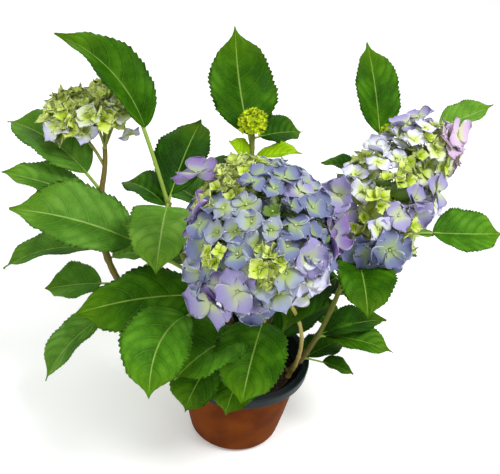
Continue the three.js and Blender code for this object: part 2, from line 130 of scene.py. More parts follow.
SHOOTS = [
    shoot(
        "left", (-30, 15), (-175, 15, 138), (-162, 75, 256), (4.6, 2.9), "cane_brown",
        low=[
            leaf(0.4, 213, -22, 34, 100, 50, 45, "soft"),
            leaf(0.5, 185, -5, 20, 62, 52, 12, "soft", roll=-15),
        ],
        mid=[
            leaf(0.68, 192, 12, 12, 102, 52, 52, "soft"),
            leaf(0.64, 20, 14, 5, 50, 44, 30, "pale"),
        ],
        top=[
            leaf(0.89, 186, 26, 18, 90, 54, 18, "soft", roll=-10),
            leaf(0.95, 155, 38, 25, 112, 66, 45, "soft", roll=-12),
        ],
    ),
    shoot(
        "midleft", (-15, 20), (-70, 20, 190), (-92, 60, 248), (4.2, 2.8),
        low=[
            leaf(0.5, 186, 27, 70, 130, 82, 25, "soft", roll=-25),
            leaf(0.56, 100, 20, 15, 85, 55, 45, "deep"),
        ],
        top=[
            leaf(0.93, 150, 32, 5, 60, 55, 50, "deep"),
            leaf(0.97, 148, 62, 84, 134, 60, 50, fold=32, roll=-18, swing=26),
            leaf(0.97, 75, 45, 10, 100, 60, 30, "deep"),
            leaf(0.97, 271, 10, 14, 94, 72, 50, "pale", fold=15),
        ],
    ),
    shoot("main", (54, -17), (80, -30, 170), (20, -50, 235), (2.2, 1.8), "cane_straw"),
    shoot(
        "centre", (0, 35), (-2, 80, 200), (-10, 125, 306), (4.4, 2.6),
        low=[
            leaf(0.6, 60, 30, 15, 95, 62, 50, "deep"),
            leaf(0.6, 130, 30, 15, 90, 60, 45, "deep"),
        ],
        top=[
            leaf(0.85, 205, 50, 1, 40, 28, 8, "lime", roll=-38),
            leaf(0.85, 335, 44, 1, 64, 30, 36, "lime", roll=14),
            leaf(0.92, 116, 42, 14, 119, 79, -35, fold=15),
            leaf(0.96, 20, 12, 8, 50, 46, 20, "deep", roll=16),
        ],
    ),
    shoot(
        "right", (55, -8), (95, -10, 150), (107, 30, 258), (3, 2.3),
        low=[
            leaf(0.15, 352, -6, 22, 36, 26, 20),
            leaf(0.12, 42, 4, 8, 54, 42, 12),
            leaf(0.35, 352, 10, 8, 74, 40, 30, roll=10),
            leaf(0.35, 20, 20, 5, 75, 45, 30, "deep"),
        ],
        top=[
            leaf(0.75, 222, 0, 14, 80, 52, 60, "deep"),
            leaf(0.88, 278, 8, 25, 76, 62, 50),
            leaf(0.9, 215, -10, 10, 50, 35, 20, "deep"),
            leaf(0.96, 10, -4, 80, 78, 56, -6, "fresh", roll=26),
            leaf(0.93, 20, -15, 16, 66, 50, 20, "deep"),
            leaf(0.93, 12, 0, 66, 20, 11, 10, "pale", roll=20),
        ],
    ),
    shoot(
        "rightback", (30, 35), (85, 85, 190), (134, 130, 312), (4.2, 2.6),
        mid=[leaf(0.84, 168, 8, 6, 46, 34, 20, "deep"), leaf(0.74, 55, 10, 15, 80, 52, 45)],
        top=[
            leaf(0.95, 110, 60, 15, 102, 54, 20),
            leaf(0.95, 5, 22, 66, 60, 42, -10, "pale", roll=12),
        ],
    ),
    shoot(
        "frontleft", (-5, -20), (-20, -30, 145), (-35, -45, 210), (3.8, 2.6),
        low=[leaf(0.3, 240, 5, 16, 72, 60, 75)],
        top=[
            leaf(0.88, 230, 3, 38, 96, 70, 60, "fresh", swing=50),
            leaf(0.97, 188, 1, 8, 130, 74, 26, fold=-3, roll=-20),
        ],
    ),
    shoot(
        "front", (10, -20), (15, -40, 140), (20, -50, 190), (3.6, 2.6),
        low=[leaf(0.3, 250, 8, 15, 62, 54, 75), leaf(0.3, 45, 18, 35, 82, 50, 10, "deep")],
        top=[
            leaf(0.8, 221, 8, 30, 80, 82, 50, "fresh"),
            leaf(0.9, 65, 30, 15, 80, 46, 30, "deep"),
            leaf(0.97, 259, -5, 5, 88, 72, 60),
        ],
    ),
    shoot(
        "backright", (22, 42), (45, 85, 145), (65, 110, 190), (3.8, 2.6),
        low=[
            leaf(0.5, 5, 0, 15, 70, 46, 30),
            leaf(0.55, 60, 0, 20, 95, 62, 40),
            leaf(0.3, 345, 0, 20, 66, 50, 20),
        ],
        top=[leaf(0.97, 95, 20, 15, 100, 66, 50, "fresh"), leaf(0.97, 35, 15, 15, 80, 56, 45)],
    ),
    shoot(
        "backleft", (-12, 42), (-25, 80, 150), (-45, 110, 205), (3.8, 2.6),
        low=[leaf(0.55, 165, 0, 20, 80, 52, 40), leaf(0.6, 100, 5, 20, 110, 70, 45)],
        top=[leaf(0.97, 70, 20, 15, 105, 68, 50), leaf(0.97, 135, 15, 15, 100, 64, 50, "fresh")],
    ),
]


def patch(heading, rise, reach, colour, size=1.0, depth=1.0):
    """Florets of one colour, so many degrees round a way from their lobe's centre, with how large
    and how far out they are beside the others."""
    return dict(locals())


def lobe(
    hub, centre, radii, axis, spread, counts, size, crown, rim, within, patches=(), strays=(),
    spur=None,
):
    """One lobe of a head. Its florets lie on an ellipsoid, as its solids' do, only more and finer,
    counted for the outer shell and the one beneath. Outside the patches, each a row of what a patch
    takes, their colours run from the crown's to the rim's, and those beneath have their own, among
    them a dark green that paints the shade deep in the head. A stray stands by itself: its place,
    its way, its width and its colour. A spur is where a side ray to the lobe's hub leaves."""
    made = dict(locals())
    for layer in ("crown", "rim", "within"):
        made[layer] = made[layer].split()
    made["patches"] = [patch(*row) for row in patches]
    return made


def head(name, shoot, hub, seed, young, *lobes):
    """A head: the shoot it ends, where its rays part, the start of its wobbles, and how many small
    florets stand where one would be in a young one's colour."""
    return dict(locals())


HEADS = [
    head(
        "head_main", "main", (14, -53, 252), 1, 4,
        lobe(
            (14, -53, 252), (8, -60, 290), (60, 68, 62), (252, 72), 97, (80, 56), (23, 36),
            "mist sky mist sky", "sky lavender sky violet", "moss sky moss mist",
            patches=[
                # the first patch, dark green and sunk in, paints the shade of a hollow in the crown
                (291, 57, 11, "shaded_green", 0.8, 0.86), (240, 11, 8, "lime", 0.8),
                (255, 6, 9, "lavender"), (357, 60, 12, "lavender", 1.1),
                (170, 23, 11, "sky", 1.1), (161, 55, 27, "lime", 1.1),
                (77, 79, 16, "sky", 1.1), (339, 41, 18, "sky", 1.1),
                (359, 9, 20, "violet", 1.1), (242, 42, 26, "mist", 0.95),
                (178, 10, 18, "violet", 1.2), (224, 16, 18, "sky"),
                (280, 19, 10, "lime", 1.1, 1.03), (309, 19, 13, "pearl", 1.15),
                (205, -26, 18, "mist", 1.2), (256, -12, 13, "lavender", 1.15),
                (279, -3, 12, "mist", 1.1), (314, -12, 15, "pearl", 1.05),
                (227, -40, 20, "lavender", 1.2), (278, -50, 22, "sky", 1.15),
            ],
            strays=[
                ((-56, -36, 336), (190, 72), 40, "violet"),
                ((-30, -104, 244), (228, -15), 47, "lavender"),
                ((8, -108, 248), (262, 8), 40, "sky"), ((-41, -90, 264), (205, 5), 34, "mist"),
                ((49, -108, 303), (290, 22), 34, "lavender"),
                ((50, -104, 270), (294, 2), 34, "pearl"),
                ((15, -122, 308), (276, 30), 26, "lime"),
                ((18, -125, 296), (280, 8), 24, "lime"),
                ((70, -61, 300), (350, 20), 42, "violet"),
            ],
        ),
    ),
    head(
        "head_right", "right", (113, 34, 268), 2, 3,
        lobe(
            (113, 34, 268), (131, 45, 280), (43, 69, 50), (300, 50), 98, (38, 26), (23, 31),
            "cream lime pearl", "pearl lavender pearl", "cream moss lime",
            patches=[
                (325, -32, 32, "pearl", 1.0, 0.68), (231, 17, 15, "lime", 1.1),
                (304, 62, 15, "lime", 1.1), (209, 32, 14, "cream"),
                (144, 49, 24, "pearl", 1.2), (188, -4, 28, "lavender", 1.4),
                (246, 50, 14, "pearl"), (290, 25, 17, "lavender", 1.3),
                (353, 13, 24, "pearl", 1.25), (216, -15, 14, "pearl"),
                # the sky patches on the underside paint the shade beneath the head
                (217, -53, 28, "sky", 1.45), (262, -22, 18, "sky", 1.3),
                (262, 2, 10, "pearl"), (284, -59, 24, "sky", 1.2),
            ],
            strays=[
                ((107, -16, 254), (256, 4), 36, "sky"), ((142, -8, 246), (282, -6), 35, "sky"),
                ((80, 3, 305), (256, 34), 34, "lavender"),
                ((154, 8, 293), (280, 5), 36, "lavender"),
                ((176, 25, 309), (330, 15), 34, "lavender"),
            ],
        ),
        lobe(
            (143, 60, 298), (165, 75, 325), (31, 32, 30), (340, 60), 95, (15, 8), (20, 28),
            "lime pearl", "lavender pearl blush", "cream lime", spur=(113, 34, 268),
            patches=[
                (5, 15, 46, "blush", 1.5), (125, 72, 14, "pearl", 1.1),
                (135, 51, 28, "lavender", 1.25), (264, 58, 24, "lime", 1.1),
                (254, 20, 22, "lime"), (295, 2, 24, "cream"),
            ],
            strays=[
                ((194, 68, 350), (330, 20), 34, "blush"),
                ((157, 92, 354), (200, 50), 30, "lavender"),
            ],
        ),
    ),
    head(
        "head_left", "left", (-163, 90, 286), 3, 1,
        lobe(
            (-163, 90, 286), (-162, 100, 321), (27, 34, 20), (200, 80), 72, (26, 18), (25, 26),
            "citron lime citron", "citron cream citron", "citron lime",
            strays=[((-138, 92, 304), (300, -35), 22, "pearl")],
        ),
        lobe(
            (-186, 96, 294), (-196, 100, 311), (26, 34, 21), (190, 80), 94, (30, 20), (24, 26),
            "citron citron lime", "citron pearl citron", "citron lime", spur=(-163, 82, 270),
            patches=[
                (232, -8, 34, "pearl", 1.15), (190, 0, 34, "pearl", 1.1),
                (215, -25, 40, "sky", 1.1),
            ],
        ),
    ),
]
BUDS = [
    {
        "name": "bud_centre", "shoot": "centre", "lean": (270, 50), "stalk": 8, "radius": 11,
        "heads": 40,
    },
    {
        "name": "bud_rightback", "shoot": "rightback", "lean": (270, 50), "stalk": 6, "radius": 6,
        "heads": 15,
    },
]

# ---------------------------------------------------------------- colours and finishes


def tint(red, green, blue):
    """A screen colour, 0 to 255, as the light it stands for."""
    def light(value):
        share = value / 255
        return share / 12.92 if share <= 0.04045 else ((share + 0.055) / 1.055) ** 2.4
    return (light(red), light(green), light(blue), 1.0)


def operator(operation, swapped=False):
    def apply(self, other):
        return self.finish.sum(operation, *((other, self) if swapped else (self, other)))
    return apply


class Share:
    """A number that varies over a surface. Arithmetic on it adds Math nodes to its material."""

    def __init__(self, finish, socket):
        self.finish = finish
        self.socket = socket

    __add__ = __radd__ = operator("ADD")
    __mul__ = __rmul__ = operator("MULTIPLY")
    __sub__ = operator("SUBTRACT")
    __rsub__ = operator("SUBTRACT", swapped=True)

    def plain(self, operation):
        return self.finish.sum(operation, self)

    def ramp(self, low, high):
        """0 below low, 1 above high and smooth between, or the other way round."""
        settings = {"interpolation_type": "SMOOTHSTEP"}
        values = {"Value": self, "From Min": low, "From Max": high}
        return self.finish.node("ShaderNodeMapRange", settings, values)


class Finish:
    """A material with one surface, and the nodes that vary over it."""

    def __init__(self, name, constants=None):
        self.material = bpy.data.materials.new(name)
        self.material.use_nodes = True
        self.tree = self.material.node_tree
        self.tree.nodes.clear()
        self.colour = None
        self.surface = self.tree.nodes.new("ShaderNodeBsdfPrincipled")
        out = self.tree.nodes.new("ShaderNodeOutputMaterial")
        self.tree.links.new(self.surface.outputs[0], out.inputs["Surface"])
        for socket, value in (constants or {}).items():
            self.surface.inputs[socket].default_value = value

    def feed(self, socket, value):
        if isinstance(value, Share):
            self.tree.links.new(value.socket, socket)
        else:
            socket.default_value = value

    def node(self, kind, settings=None, values=None, output=0):
        made = self.tree.nodes.new(kind)
        for name, value in (settings or {}).items():
            setattr(made, name, value)
        for name, value in (values or {}).items():
            self.feed(made.inputs[name], value)
        return Share(self, made.outputs[output])

    def sum(self, operation, *values):
        return self.node("ShaderNodeMath", {"operation": operation}, dict(enumerate(values)))

    def mix(self, share, first, second):
        """A colour, first where share is 0 and second where it is 1."""
        return self.node(
            "ShaderNodeMix", {"data_type": "RGBA"}, {0: share, 6: first, 7: second}, output=2
        )

    def coat(self, share, colour):
        """Lays a colour over what the surface has so far, as strongly as share says."""
        self.colour = self.mix(share, self.colour, colour)

    def place(self):
        return self.node("ShaderNodeTexCoord", output="Object")

    def along(self, map_name):
        """The two shares that a piece's own map holds."""
        both = self.node("ShaderNodeUVMap", {"uv_map": map_name})
        split = {"Vector": both}
        return [self.node("ShaderNodeSeparateXYZ", None, split, output=axis) for axis in "XY"]

    def noise(self, size, detail=3, vector=None):
        """Cloudy noise whose lumps are about so many millimetres."""
        values = {"Vector": vector or self.place(), "Scale": 1 / (size * MM), "Detail": detail}
        return self.node("ShaderNodeTexNoise", None, values, output="Fac")

    def cells(self, size, feature="F1"):
        values = {"Vector": self.place(), "Scale": 1 / (size * MM)}
        return self.node("ShaderNodeTexVoronoi", {"feature": feature}, values, output="Distance")

    def wear(self, roughness, relief, depth, strength):
        """Puts what varies on the surface. The relief is so many millimetres deep."""
        self.feed(self.surface.inputs["Base Color"], self.colour)
        if roughness is not None:
            self.feed(self.surface.inputs["Roughness"], roughness)
        values = {"Strength": strength, "Distance": depth * MM, "Height": relief}
        self.feed(self.surface.inputs["Normal"], self.node("ShaderNodeBump", None, values))
        return self.material


# Partly each leaf's own green, partly painted light: deep paints shade, soft and pale paint light.
LEAF_GREENS = {
    # shade, body, veins and margin
    "deep": ((12, 48, 0), (34, 82, 0), (84, 130, 34)),
    "mid": ((24, 68, 0), (55, 108, 0), (108, 152, 44)),
    "soft": ((54, 104, 16), (88, 140, 38), (140, 178, 92)),
    "fresh": ((38, 88, 2), (74, 134, 16), (128, 174, 66)),
    "pale": ((76, 128, 26), (112, 164, 50), (160, 196, 100)),
    "lime": ((120, 168, 0), (166, 210, 4), (200, 228, 60)),
}
# painted light: the yellow-green of light shining through the thin leaf tips
TIP_GLOW = tint(104, 146, 10)
UNDERSIDE = 0.45  # how far the back of a leaf is bleached


def bow(out):
    """How far up the blade a side vein has swept by a share of the way to the margin."""
    return out * BLADE["lean"] + out * out * BLADE["sweep"]


def leaf_finish(tone, under):
    """A leaf's surface: the midrib, the swept side veins and the puckers between them, with painted
    shade in the vein grooves and a painted highlight on the puckers.
    """
    shade, body, pale = (tint(*colour) for colour in LEAF_GREENS[tone])
    constants = {"Specular IOR Level": 0.03 if under else 0.05}
    finish = Finish(f"leaf_{tone}_back" if under else f"leaf_{tone}", constants)
    u, t = finish.along("blade")
    out = (u * 2 - 1).plain("ABSOLUTE")
    midrib = 1 - out.ramp(0.008, 0.034)
    phase = (t - bow(out)) * BLADE["veins"] + u.ramp(0.499, 0.501) * BLADE["stagger"]
    near = (phase.plain("FRACT") - 0.5).plain("ABSOLUTE")
    vein = near.ramp(0.462, 0.496) * (1 - out.ramp(0.82, 0.98)) * t.ramp(0.02, 0.08)
    clouds = finish.noise(26, 4)
    net = 1 - finish.cells(2.4, "DISTANCE_TO_EDGE").ramp(0.02, 0.2)
    finish.colour = finish.mix(clouds.ramp(0.3, 0.7), shade, body)
    # painted shade: darker in the grooves along the side veins
    finish.coat(near.ramp(0.2, 0.47) * 0.35, shade)
    # painted highlight on the raised puckers between the veins
    finish.coat((1 - near * 2) * clouds.ramp(0.45, 0.75) * 0.22, pale)
    # painted light showing through the tips
    finish.coat(t.ramp(0.55, 1.0) * 0.4, TIP_GLOW)
    finish.coat(net * 0.1, pale)
    finish.coat(vein * 0.5, pale)
    finish.coat(midrib * 0.85, finish.mix(0.3, pale, tint(186, 204, 110)))
    finish.coat(out.ramp(0.94, 1.0) * 0.3, pale)
    if under:
        finish.coat(UNDERSIDE, tint(140, 172, 100))
    relief = finish.noise(1.3, 2) * 0.3 - net * 0.25 - vein - near.ramp(0.25, 0.5) * 0.6
    rough = 0.65 if under else 0.36 + 0.16 * finish.noise(18)
    return finish.wear(rough, relief, depth=0.7, strength=0.8)


SEPAL_COLOURS = {
    # heart, middle, edge and the thin pale rim
    "lime": ((166, 196, 30), (194, 212, 82), (210, 222, 142), (230, 236, 190)),
    "sprout": ((166, 198, 0), (196, 218, 10), (208, 224, 50), (222, 232, 100)),
    "citron": ((180, 204, 50), (202, 220, 92), (216, 230, 134), (232, 240, 190)),
    "cream": ((176, 200, 60), (204, 216, 140), (212, 218, 204), (238, 240, 240)),
    "pearl": ((200, 218, 112), (220, 226, 218), (198, 196, 232), (244, 242, 252)),
    "mist": ((156, 178, 92), (160, 172, 168), (142, 150, 180), (226, 226, 240)),
    # sky: a dull blue, partly the sepals' own and partly painted shade where the heads are shadowed
    "sky": ((150, 170, 116), (120, 132, 156), (106, 112, 156), (206, 208, 232)),
    "lavender": ((184, 196, 150), (160, 158, 190), (146, 136, 188), (222, 216, 240)),
    "violet": ((160, 170, 150), (138, 126, 170), (126, 100, 158), (206, 194, 226)),
    "blush": ((206, 208, 160), (208, 188, 214), (200, 168, 208), (238, 224, 240)),
    # dark green florets that paint the shade in the gaps and hollows of the heads
    "shaded_green": ((90, 120, 20), (98, 130, 56), (110, 136, 86), (140, 160, 110)),
}
YOUNG_COLOURS = ("lime", "citron")
OPENINGS = {"lime": 36, "citron": 24}  # degrees that the sepals stand up from the floret's plane


def sepal_finish(colour_name):
    """A sepal: its green heart runs out to the colour, with fanned veins and a thin pale rim."""
    heart, middle, edge, pale = (tint(*colour) for colour in SEPAL_COLOURS[colour_name])
    finish = Finish(f"sepal_{colour_name}", {"Roughness": 0.65, "Specular IOR Level": 0.12})
    u, t = finish.along("petal")
    out = (u * 2 - 1).plain("ABSOLUTE")
    fan = finish.node("ShaderNodeCombineXYZ", None, {"X": u * 14, "Y": t * 2.5})
    streaks = finish.noise(1000, 3, fan)
    clouds = finish.noise(22, 2)
    finish.colour = finish.mix((t + clouds * 0.3 - 0.15).ramp(0.12, 0.56), heart, middle)
    finish.coat((t + streaks * 0.3 + clouds * 0.4 - 0.35).ramp(0.35, 0.95), edge)
    lines = ((out * 5.5 * (1.25 - t)).plain("FRACT") - 0.5).plain("ABSOLUTE").ramp(0.4, 0.5)
    finish.coat(lines * 0.14, heart)
    rim = out.ramp(0.84, 0.98) + t.ramp(0.92, 1.0)
    finish.coat(rim * 0.75, pale)
    return finish.wear(None, streaks - lines * 0.5, depth=0.25, strength=0.6)


def stalk_finish(name, old, young, glow):
    """Green stems, older and browner where the piece's age map says so."""
    finish = Finish(name, {"Specular IOR Level": 0.4})
    _, age = finish.along("age")
    clouds = finish.noise(9, 3)
    finish.colour = finish.mix((age + clouds * 0.5 - 0.25).ramp(0.05, 0.6), old, young)
    specks = 1 - finish.cells(2.4).ramp(0.12, 0.3)
    finish.coat(specks * 0.5, glow)
    relief = finish.noise(2.2, 3) + specks * 0.8
    return finish.wear(0.5 + 0.2 * clouds, relief, depth=0.4, strength=0.7)


def clay_finish():
    finish = Finish("pot_clay", {"Specular IOR Level": 0.06})
    clouds = finish.noise(30, 5)
    grain = finish.noise(0.7, 2)
    finish.colour = finish.mix(clouds.ramp(0.3, 0.72), tint(86, 36, 0), tint(112, 54, 6))
    finish.coat(grain.ramp(0.6, 0.8) * 0.2, tint(136, 80, 44))
    smears = finish.noise(11, 4).ramp(0.62, 0.8)
    finish.coat(smears * 0.25, tint(76, 32, 8))
    return finish.wear(0.62 + 0.2 * clouds, grain + clouds * 0.5, depth=0.3, strength=0.5)


def liner_finish():
    finish = Finish("nursery_pot_plastic", {"Specular IOR Level": 0.2})
    clouds = finish.noise(14, 3)
    dust = finish.noise(3, 4).ramp(0.56, 0.8)
    finish.colour = finish.mix(clouds, tint(2, 14, 18), tint(6, 25, 30))
    finish.coat(dust * 0.12, tint(60, 74, 70))
    return finish.wear(0.45 + 0.3 * dust, clouds + dust * 0.4, depth=0.2, strength=0.4)


def compost_finish():
    finish = Finish("compost_crumb", {"Specular IOR Level": 0.2})
    clouds = finish.noise(5, 5)
    finish.colour = finish.mix(clouds.ramp(0.3, 0.7), tint(20, 14, 10), tint(50, 35, 24))
    finish.coat(finish.noise(1.6, 2).ramp(0.66, 0.74) * 0.6, tint(96, 70, 46))
    return finish.wear(0.9, clouds + finish.noise(0.9, 2), depth=1.0, strength=0.9)


def bead_finish(name, dark, light):
    finish = Finish(name, {"Specular IOR Level": 0.35})
    clouds = finish.noise(2.2, 3)
    finish.colour = finish.mix(clouds.ramp(0.3, 0.7), dark, light)
    return finish.wear(0.5 + 0.2 * clouds, clouds, depth=0.3, strength=0.5)


# ---------------------------------------------------------------- small maths


def bearing(heading, rise):
    """The unit vectors of headings and rises, one a row."""
    heading, rise = np.broadcast_arrays(np.radians(heading), np.radians(rise))
    flat = np.cos(rise)
    return np.stack([flat * np.cos(heading), flat * np.sin(heading), np.sin(rise)], -1)


def wobble(seed, index):
    """A repeatable wobble from -1 to 1."""
    wave = math.sin(seed * 12.9898 + index * 78.233) * 43758.5453
    return 2 * (wave - math.floor(wave)) - 1


def unit(vectors):
    vectors = np.asarray(vectors, float)
    return vectors / np.linalg.norm(vectors, axis=-1, keepdims=True)


def square_to(ways):
    """Two unit vectors square to each way, so that right x way = up."""
    ways = np.atleast_2d(ways)
    reference = np.where(np.abs(ways[:, 1:2]) < 0.9, (0.0, 1.0, 0.0), (1.0, 0.0, 0.0))
    right = unit(np.cross(ways, reference))
    return right, np.cross(right, ways)


def beside(way):
    """The same two for a single way."""
    right, up = square_to(way)
    return right[0], up[0]


def smooth(value, low, high):
    share = np.clip((value - low) / (high - low), 0, 1)
    return share * share * (3 - 2 * share)


class Bow:
    """A curve bent by one point, from start to end."""

    def __init__(self, start, bend, end):
        self.points = [np.asarray(p, float) for p in (start, bend, end)]

    def at(self, t):
        a, b, c = self.points
        t = np.asarray(t, float)[..., None]
        return a * (1 - t) ** 2 + 2 * b * t * (1 - t) + c * t * t

    def way(self, t):
        a, b, c = self.points
        t = np.asarray(t, float)[..., None]
        return unit((b - a) * (1 - t) + (c - b) * t)


def cane_curve(shoot):
    return Bow((*shoot["foot"], COMPOST_TOP), shoot["knee"], shoot["tip"])


def shoot_named(name):
    return next(shoot for shoot in SHOOTS if shoot["name"] == name)


# ---------------------------------------------------------------- making pieces


def wrapped(shape, around, along, place, maps, slot=0):
    """A grid wrapped into a closed skin. place(a, s) gives the points for shares round it and along
    it, and maps gives, for the same shares, the two coordinates that each named map holds."""
    made = bmesh.ops.create_grid(shape, x_segments=around, y_segments=along, size=1)["verts"]
    flat = np.array([vert.co[:2] for vert in made])
    a, s = (flat[:, 0] + 1) / 2, (flat[:, 1] + 1) / 2
    held = {name: np.stack(rule(a, s), -1) for name, rule in maps.items()}
    known = shape.loops.layers.uv
    layers = {name: known.get(name) or known.new(name) for name in maps}
    order = {vert: i for i, vert in enumerate(made)}
    faces = {face for vert in made for face in vert.link_faces}
    for face in faces:
        face.material_index = slot(face, a, order) if callable(slot) else slot
        face.smooth = True
        for loop in face.loops:
            for name, layer in layers.items():
                loop[layer].uv = held[name][order[loop.vert]]
    for vert, point in zip(made, place(a, s)):
        vert.co = point
    bmesh.ops.remove_doubles(shape, verts=made, dist=1e-4)


def unfold(a):
    """For shares round a flat skin: how far across, -1 to 1, and whether it is the underside."""
    under = a > 0.5
    return np.where(under, 3 - 4 * a, 4 * a - 1), under


def flat_maps(name, column=0, row=0, cells=1):
    """The maps of a flat skin: across and along it, and laid out in its cell of a square."""
    def pattern(a, s):
        return (unfold(a)[0] + 1) / 2, s

    def layout(a, s):
        u, under = unfold(a)
        across = 0.25 + 0.22 * u + 0.5 * under
        return (column + across) / cells, (row + 0.03 + 0.94 * s) / cells

    return {name: pattern, "OFBake": layout}


def tube(shape, curve, radius, sides, steps, ages=(0.5, 0.5), level=None, span=(0, 1), slot=0):
    """A closed round stem along a curve, with flat ends, its foot level where a height is given."""
    def place(a, s):
        share = np.clip((s * steps - 1) / (steps - 2), 0, 1)
        t = span[0] + (span[1] - span[0]) * share
        centre, way = curve.at(t), curve.way(t)
        right, up = square_to(way)
        thick = radius(t) * ((s > 0.5 / steps) & (s < 1 - 0.5 / steps))
        turn = 2 * math.pi * a
        aside, above = (np.sin(turn) * thick)[:, None], (np.cos(turn) * thick)[:, None]
        point = centre + aside * right + above * up
        if level is not None:
            low = point[:, 2] < level
            slide = (level - point[:, 2]) / way[:, 2]
            point = np.where(low[:, None], point + slide[:, None] * way, point)
        return point

    def age(a, s):
        return a, ages[0] + (ages[1] - ages[0]) * s

    wrapped(shape, sides, steps, place, {"age": age}, slot)


def finished(shape, name, materials, slot, nodes=()):
    """Makes a piece of what is modelled so far, at its real size, and gives it to the plant."""
    bmesh.ops.recalc_face_normals(shape, faces=shape.faces[:])
    bmesh.ops.scale(shape, vec=(MM, MM, MM), verts=shape.verts[:])
    mesh = bpy.data.meshes.new(name)
    shape.to_mesh(mesh)
    shape.free()
    dressed(mesh, name, materials, slot, nodes)


def dressed(mesh, name, materials, slot, nodes=()):
    for material in materials:
        mesh.materials.append(material)
    piece = bpy.data.objects.new(name, mesh)
    bpy.context.scene.collection.objects.link(piece)
    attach(piece, "root")
    if nodes:
        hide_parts(*nodes)


class Pattern:
    """A small shape that is repeated many times: its points, faces and maps as arrays."""

    def __init__(self, shape):
        shape.verts.index_update()
        self.points = np.array([vert.co for vert in shape.verts])
        self.faces = [[vert.index for vert in face.verts] for face in shape.faces]
        self.maps = {
            layer.name: np.array([loop[layer].uv for face in shape.faces for loop in face.loops])
            for layer in shape.loops.layers.uv.values()
        }
        shape.free()


def repeated(name, copies, materials, slot, nodes=()):
    """One joined piece of many patterns: each copy is a pattern, a 3 by 3 frame whose columns are
    its axes with their lengths, a place, and the material it wears."""
    points, faces, worn, maps, start = [], [], [], {}, 0
    for pattern, axes, at, material in copies:
        points.append(pattern.points @ np.asarray(axes).T + at)
        faces += [[start + corner for corner in face] for face in pattern.faces]
        worn += [material] * len(pattern.faces)
        start += len(pattern.points)
        for key, values in pattern.maps.items():
            maps.setdefault(key, []).append(values)
    mesh = bpy.data.meshes.new(name)
    mesh.from_pydata(np.concatenate(points) * MM, [], faces)
    mesh.polygons.foreach_set("material_index", worn)
    mesh.polygons.foreach_set("use_smooth", [True] * len(faces))
    for key, values in maps.items():
        mesh.uv_layers.new(name=key).data.foreach_set("uv", np.concatenate(values).ravel())
    mesh.validate()
    dressed(mesh, name, materials, slot, nodes)


# ---------------------------------------------------------------- leaves


def outline(t):
    """Half the blade's width at a share of its length, full at 1."""
    base, tip = LEAF["base_fullness"], LEAF["tip_fullness"]
    widest = (base / (base + tip)) ** base * (tip / (base + tip)) ** tip
    drip = LEAF["drip"] * smooth(t, LEAF["drip_from"], 1)
    return t**base * (1 - t) ** tip / widest * (1 - drip)


def spine(root, spec, t):
    """Points along the blade's midrib, and the ways along, left and up there."""
    fine = np.linspace(0, 1, 161)
    middle = (fine[1:] + fine[:-1]) / 2
    heading = spec["heading"] + spec["swing"] * middle
    steps = bearing(heading, spec["rise"] - spec["droop"] * middle) * spec["length"] / len(middle)
    path = np.vstack([np.zeros(3), np.cumsum(steps, 0)])
    start = root + bearing(spec["heading"], spec["rise"] + LEAF["petiole_lift"]) * spec["petiole"]
    at = start + np.stack([np.interp(t, fine, path[:, k]) for k in range(3)], -1)
    heading = spec["heading"] + spec["swing"] * t
    along = bearing(heading, spec["rise"] - spec["droop"] * t)
    level = bearing(heading + 90, 0)
    roll = math.radians(spec["roll"])
    left = level * math.cos(roll) + np.cross(along, level) * math.sin(roll)
    return at, left, np.cross(along, left)


def blade(shape, root, spec, seed, slots, cell):
    """One toothed, quilted blade, its upper side and its underside meeting at a thin edge."""
    half_width, length = spec["width"] / 2, spec["length"]
    fold = math.radians(spec["fold"])

    def place(a, s):
        u, under = unfold(a)
        out, right = np.abs(u), u > 0
        at, left, up = spine(root, spec, s)
        toothed = smooth(s, 0.06, 0.16) * (1 - smooth(s, 0.93, 0.99))
        tooth = ((s * BLADE["teeth"]) % 1 - 0.35) * toothed * out**12
        uneven = 1 + 0.04 * np.sin(7 * s + seed + right * 2)
        drawn = 1 - BLADE["taper"] * smooth(s, 0.8, 0.98)
        reach = outline(s) * half_width * uneven * drawn * (1 + BLADE["tooth"] * tooth)
        phase = (s - bow(out)) * BLADE["veins"] + BLADE["stagger"] * right
        open_part = np.clip(5 * out, 0, 1) * (1 - out**3)
        open_part = open_part * smooth(s, 0.0, 0.15) * (1 - smooth(s, 0.8, 1))
        quilt = BLADE["quilt"] * length * (np.abs(np.sin(math.pi * phase)) ** 0.6 - 0.6) * open_part
        wave = np.sin(2 * math.pi * (2.3 * s + 0.37 * seed + 0.3 * right))
        ruffle = BLADE["ruffle"] * half_width * out**2.5 * wave * smooth(s, 0.05, 0.3)
        lift = reach * (out * math.sin(fold) + 4 * LEAF["arch"] * out * (1 - out))
        groove = 0.8 * np.exp(-((out * half_width / 2.0) ** 2)) * (1 - s)
        lift = lift + quilt + ruffle - groove
        rib = BLADE["rib"] * length / 100 * (1.15 - s) * np.exp(-((u * half_width / 1.5) ** 2))
        body = BLADE["thickness"] * (1 - out**6) * np.minimum(1, 12 * outline(s)) + rib
        lift = lift - np.where(under, body, 0)
        return at - left * (u * reach * math.cos(fold))[:, None] + up * lift[:, None]

    def side_slot(face, a, order):
        return slots[int(np.mean([a[order[vert]] for vert in face.verts]) > 0.5)]

    wrapped(shape, 2 * BLADE["across"], BLADE["along"], place, flat_maps("blade", *cell), side_slot)


def petiole(shape, root, spec):
    """The leaf's stalk, rooted in the cane and running out under the blade."""
    at, _, up = spine(root, spec, np.array([0.0, 0.22]))
    thick = LEAF["petiole"] * spec["length"] + LEAF["petiole_core"]
    curve = Bow(root, at[0] - up[0] * 0.4, at[1] - up[1] * 0.7)
    bare = max(spec["petiole"], 1) / (spec["petiole"] + 0.22 * spec["length"])

    def radius(t):
        collar = 0.5 * np.exp(-((t * spec["petiole"] / bare / 4) ** 2))
        return thick * (1 + collar) * (1 - 0.75 * smooth(t, bare * 0.8, 1))

    tube(shape, curve, radius, 10, 20, ages=(0.5, 0.95))


